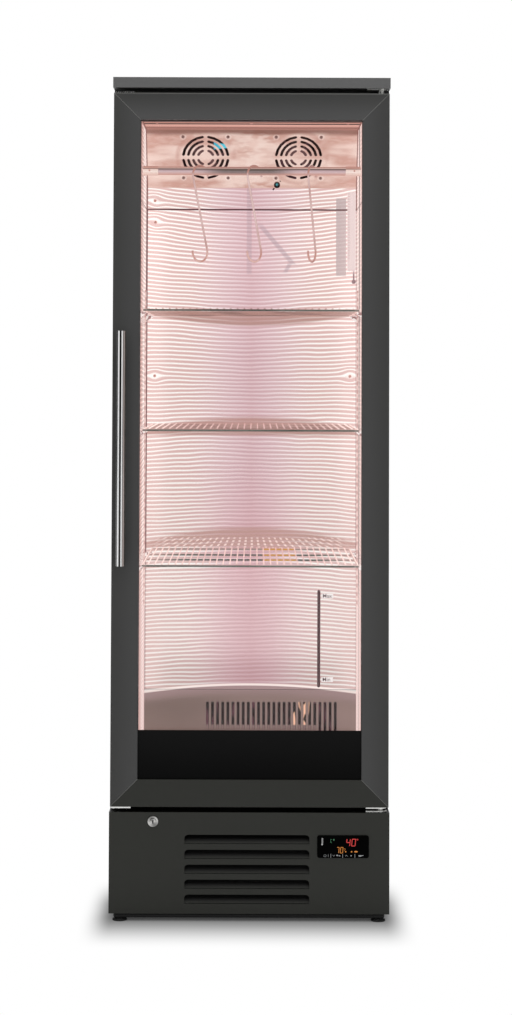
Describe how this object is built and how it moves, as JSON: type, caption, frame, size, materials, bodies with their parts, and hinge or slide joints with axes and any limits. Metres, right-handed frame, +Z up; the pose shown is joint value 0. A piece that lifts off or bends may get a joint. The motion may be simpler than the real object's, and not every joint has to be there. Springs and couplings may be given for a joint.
{
  "type": "dry aging cabinet",
  "caption": "Tall insulated dry aging cabinet with a framed glass door on side pins, a hanging bar with swinging hooks, wire shelves and a louvred machine base.",
  "frame": {"origin": "on the floor, under the middle of the bounding box with the door closed", "axes": "+Z up, +X to the viewer's right as one faces the door, -Y out of the door"},
  "size_m": [0.6, 0.7, 1.8115],
  "materials": {
    "charcoal_paint": "satin charcoal powder coat",
    "lid_paint": "satin grey powder coat",
    "black_paint": "black enamel",
    "condenser_fins": "black painted fins",
    "galvanised": "galvanised sheet",
    "copper_steel": "copper-tinted polished stainless sheet",
    "brushed_steel": "brushed stainless sheet",
    "polished_steel": "polished stainless steel",
    "wire_steel": "polished steel wire",
    "zinc": "zinc plated",
    "aluminium": "plain",
    "foam": "rigid polyurethane foam",
    "clear_glass": "clear, polished",
    "black_gloss": "glossy black face",
    "black_plastic": "matt black",
    "black_rubber": "matt",
    "white_plastic": "matt off-white",
    "diffuser": "frosted"
  },
  "bodies": {
    "cabinet": {"outer_shell": "charcoal_paint", "rear_panel": "galvanised", "foam_insulation": "foam", "liner": "copper_steel", "top_cap": "lid_paint", "base_pan": "galvanised", "foot_front_left": "black_plastic", "foot_front_right": "black_plastic", "foot_rear_left": "black_plastic", "foot_rear_right": "black_plastic", "front_panel": "charcoal_paint", "rear_grille": "galvanised", "controller": "black_gloss", "lock_barrel": "polished_steel", "hinge_bracket_top": "zinc", "hinge_bracket_bottom": "zinc", "back_panel": "copper_steel", "intake_grille": "brushed_steel", "evaporator_cover": "copper_steel", "fan_frame_left": "black_plastic", "fan_frame_right": "black_plastic", "evaporator_coil": "aluminium", "water_tank": "white_plastic", "temperature_probe": "white_plastic", "uv_lamp_housing": "white_plastic", "led_strip_left": "diffuser", "led_strip_right": "diffuser", "bar_socket_left": "polished_steel", "bar_socket_right": "polished_steel", "hanging_bar": "polished_steel", "shelf_lower": "wire_steel", "shelf_middle": "wire_steel", "shelf_upper": "wire_steel", "shelf_standard_front_left": "polished_steel", "shelf_standard_front_right": "polished_steel", "shelf_standard_rear_left": "polished_steel", "shelf_standard_rear_right": "polished_steel", "compressor": "black_paint", "condenser": "condenser_fins", "condenser_fan_shroud": "black_plastic", "evaporation_tray": "black_plastic"},
    "door": {"door_frame_top": "charcoal_paint", "door_frame_bottom": "charcoal_paint", "door_frame_left": "charcoal_paint", "door_frame_right": "charcoal_paint", "outer_glass": "clear_glass", "inner_glass": "clear_glass", "glass_spacer": "black_plastic", "door_gasket": "black_rubber", "handle_bar": "polished_steel", "corner_plate_top": "zinc", "corner_plate_bottom": "zinc", "door_hinge_plate": "zinc"},
    "lock": {"lock_plug": "polished_steel"},
    "hook_left": {"hook_left": "polished_steel"},
    "hook_middle": {"hook_middle": "polished_steel"},
    "hook_right": {"hook_right": "polished_steel"},
    "fan_left": {"impeller_left": "black_plastic"},
    "fan_right": {"impeller_right": "black_plastic"},
    "condenser_fan": {"condenser_impeller": "aluminium"}
  },
  "joints": [
    {"name": "door_hinge", "type": "hinge", "parent": "cabinet", "child": "door", "pos_m": [0.2805, -0.288, 1.011], "axis": [0, 0, 1], "range_deg": [0, 110]},
    {"name": "lock_turn", "type": "hinge", "parent": "cabinet", "child": "lock", "pos_m": [-0.2059, -0.308, 0.2138], "axis": [0, -1, 0], "range_deg": [0, 90]},
    {"name": "hook_left_swing", "type": "hinge", "parent": "cabinet", "child": "hook_left", "pos_m": [-0.121, 0.09, 1.6455], "axis": [1, 0, 0], "range_deg": [-40, 40]},
    {"name": "hook_middle_swing", "type": "hinge", "parent": "cabinet", "child": "hook_middle", "pos_m": [0.006, 0.09, 1.6455], "axis": [1, 0, 0], "range_deg": [-40, 40]},
    {"name": "hook_right_swing", "type": "hinge", "parent": "cabinet", "child": "hook_right", "pos_m": [0.141, 0.09, 1.6455], "axis": [1, 0, 0], "range_deg": [-40, 40]},
    {"name": "fan_left_spin", "type": "hinge", "parent": "cabinet", "child": "fan_left", "pos_m": [-0.1118, 0.2247, 1.6905], "axis": [0, -0.866, -0.5], "continuous": true},
    {"name": "fan_right_spin", "type": "hinge", "parent": "cabinet", "child": "fan_right", "pos_m": [0.1118, 0.2247, 1.6905], "axis": [0, -0.866, -0.5], "continuous": true},
    {"name": "condenser_fan_spin", "type": "hinge", "parent": "cabinet", "child": "condenser_fan", "pos_m": [-0.0047, -0.25, 0.1138], "axis": [0, -1, 0], "continuous": true}
  ]
}
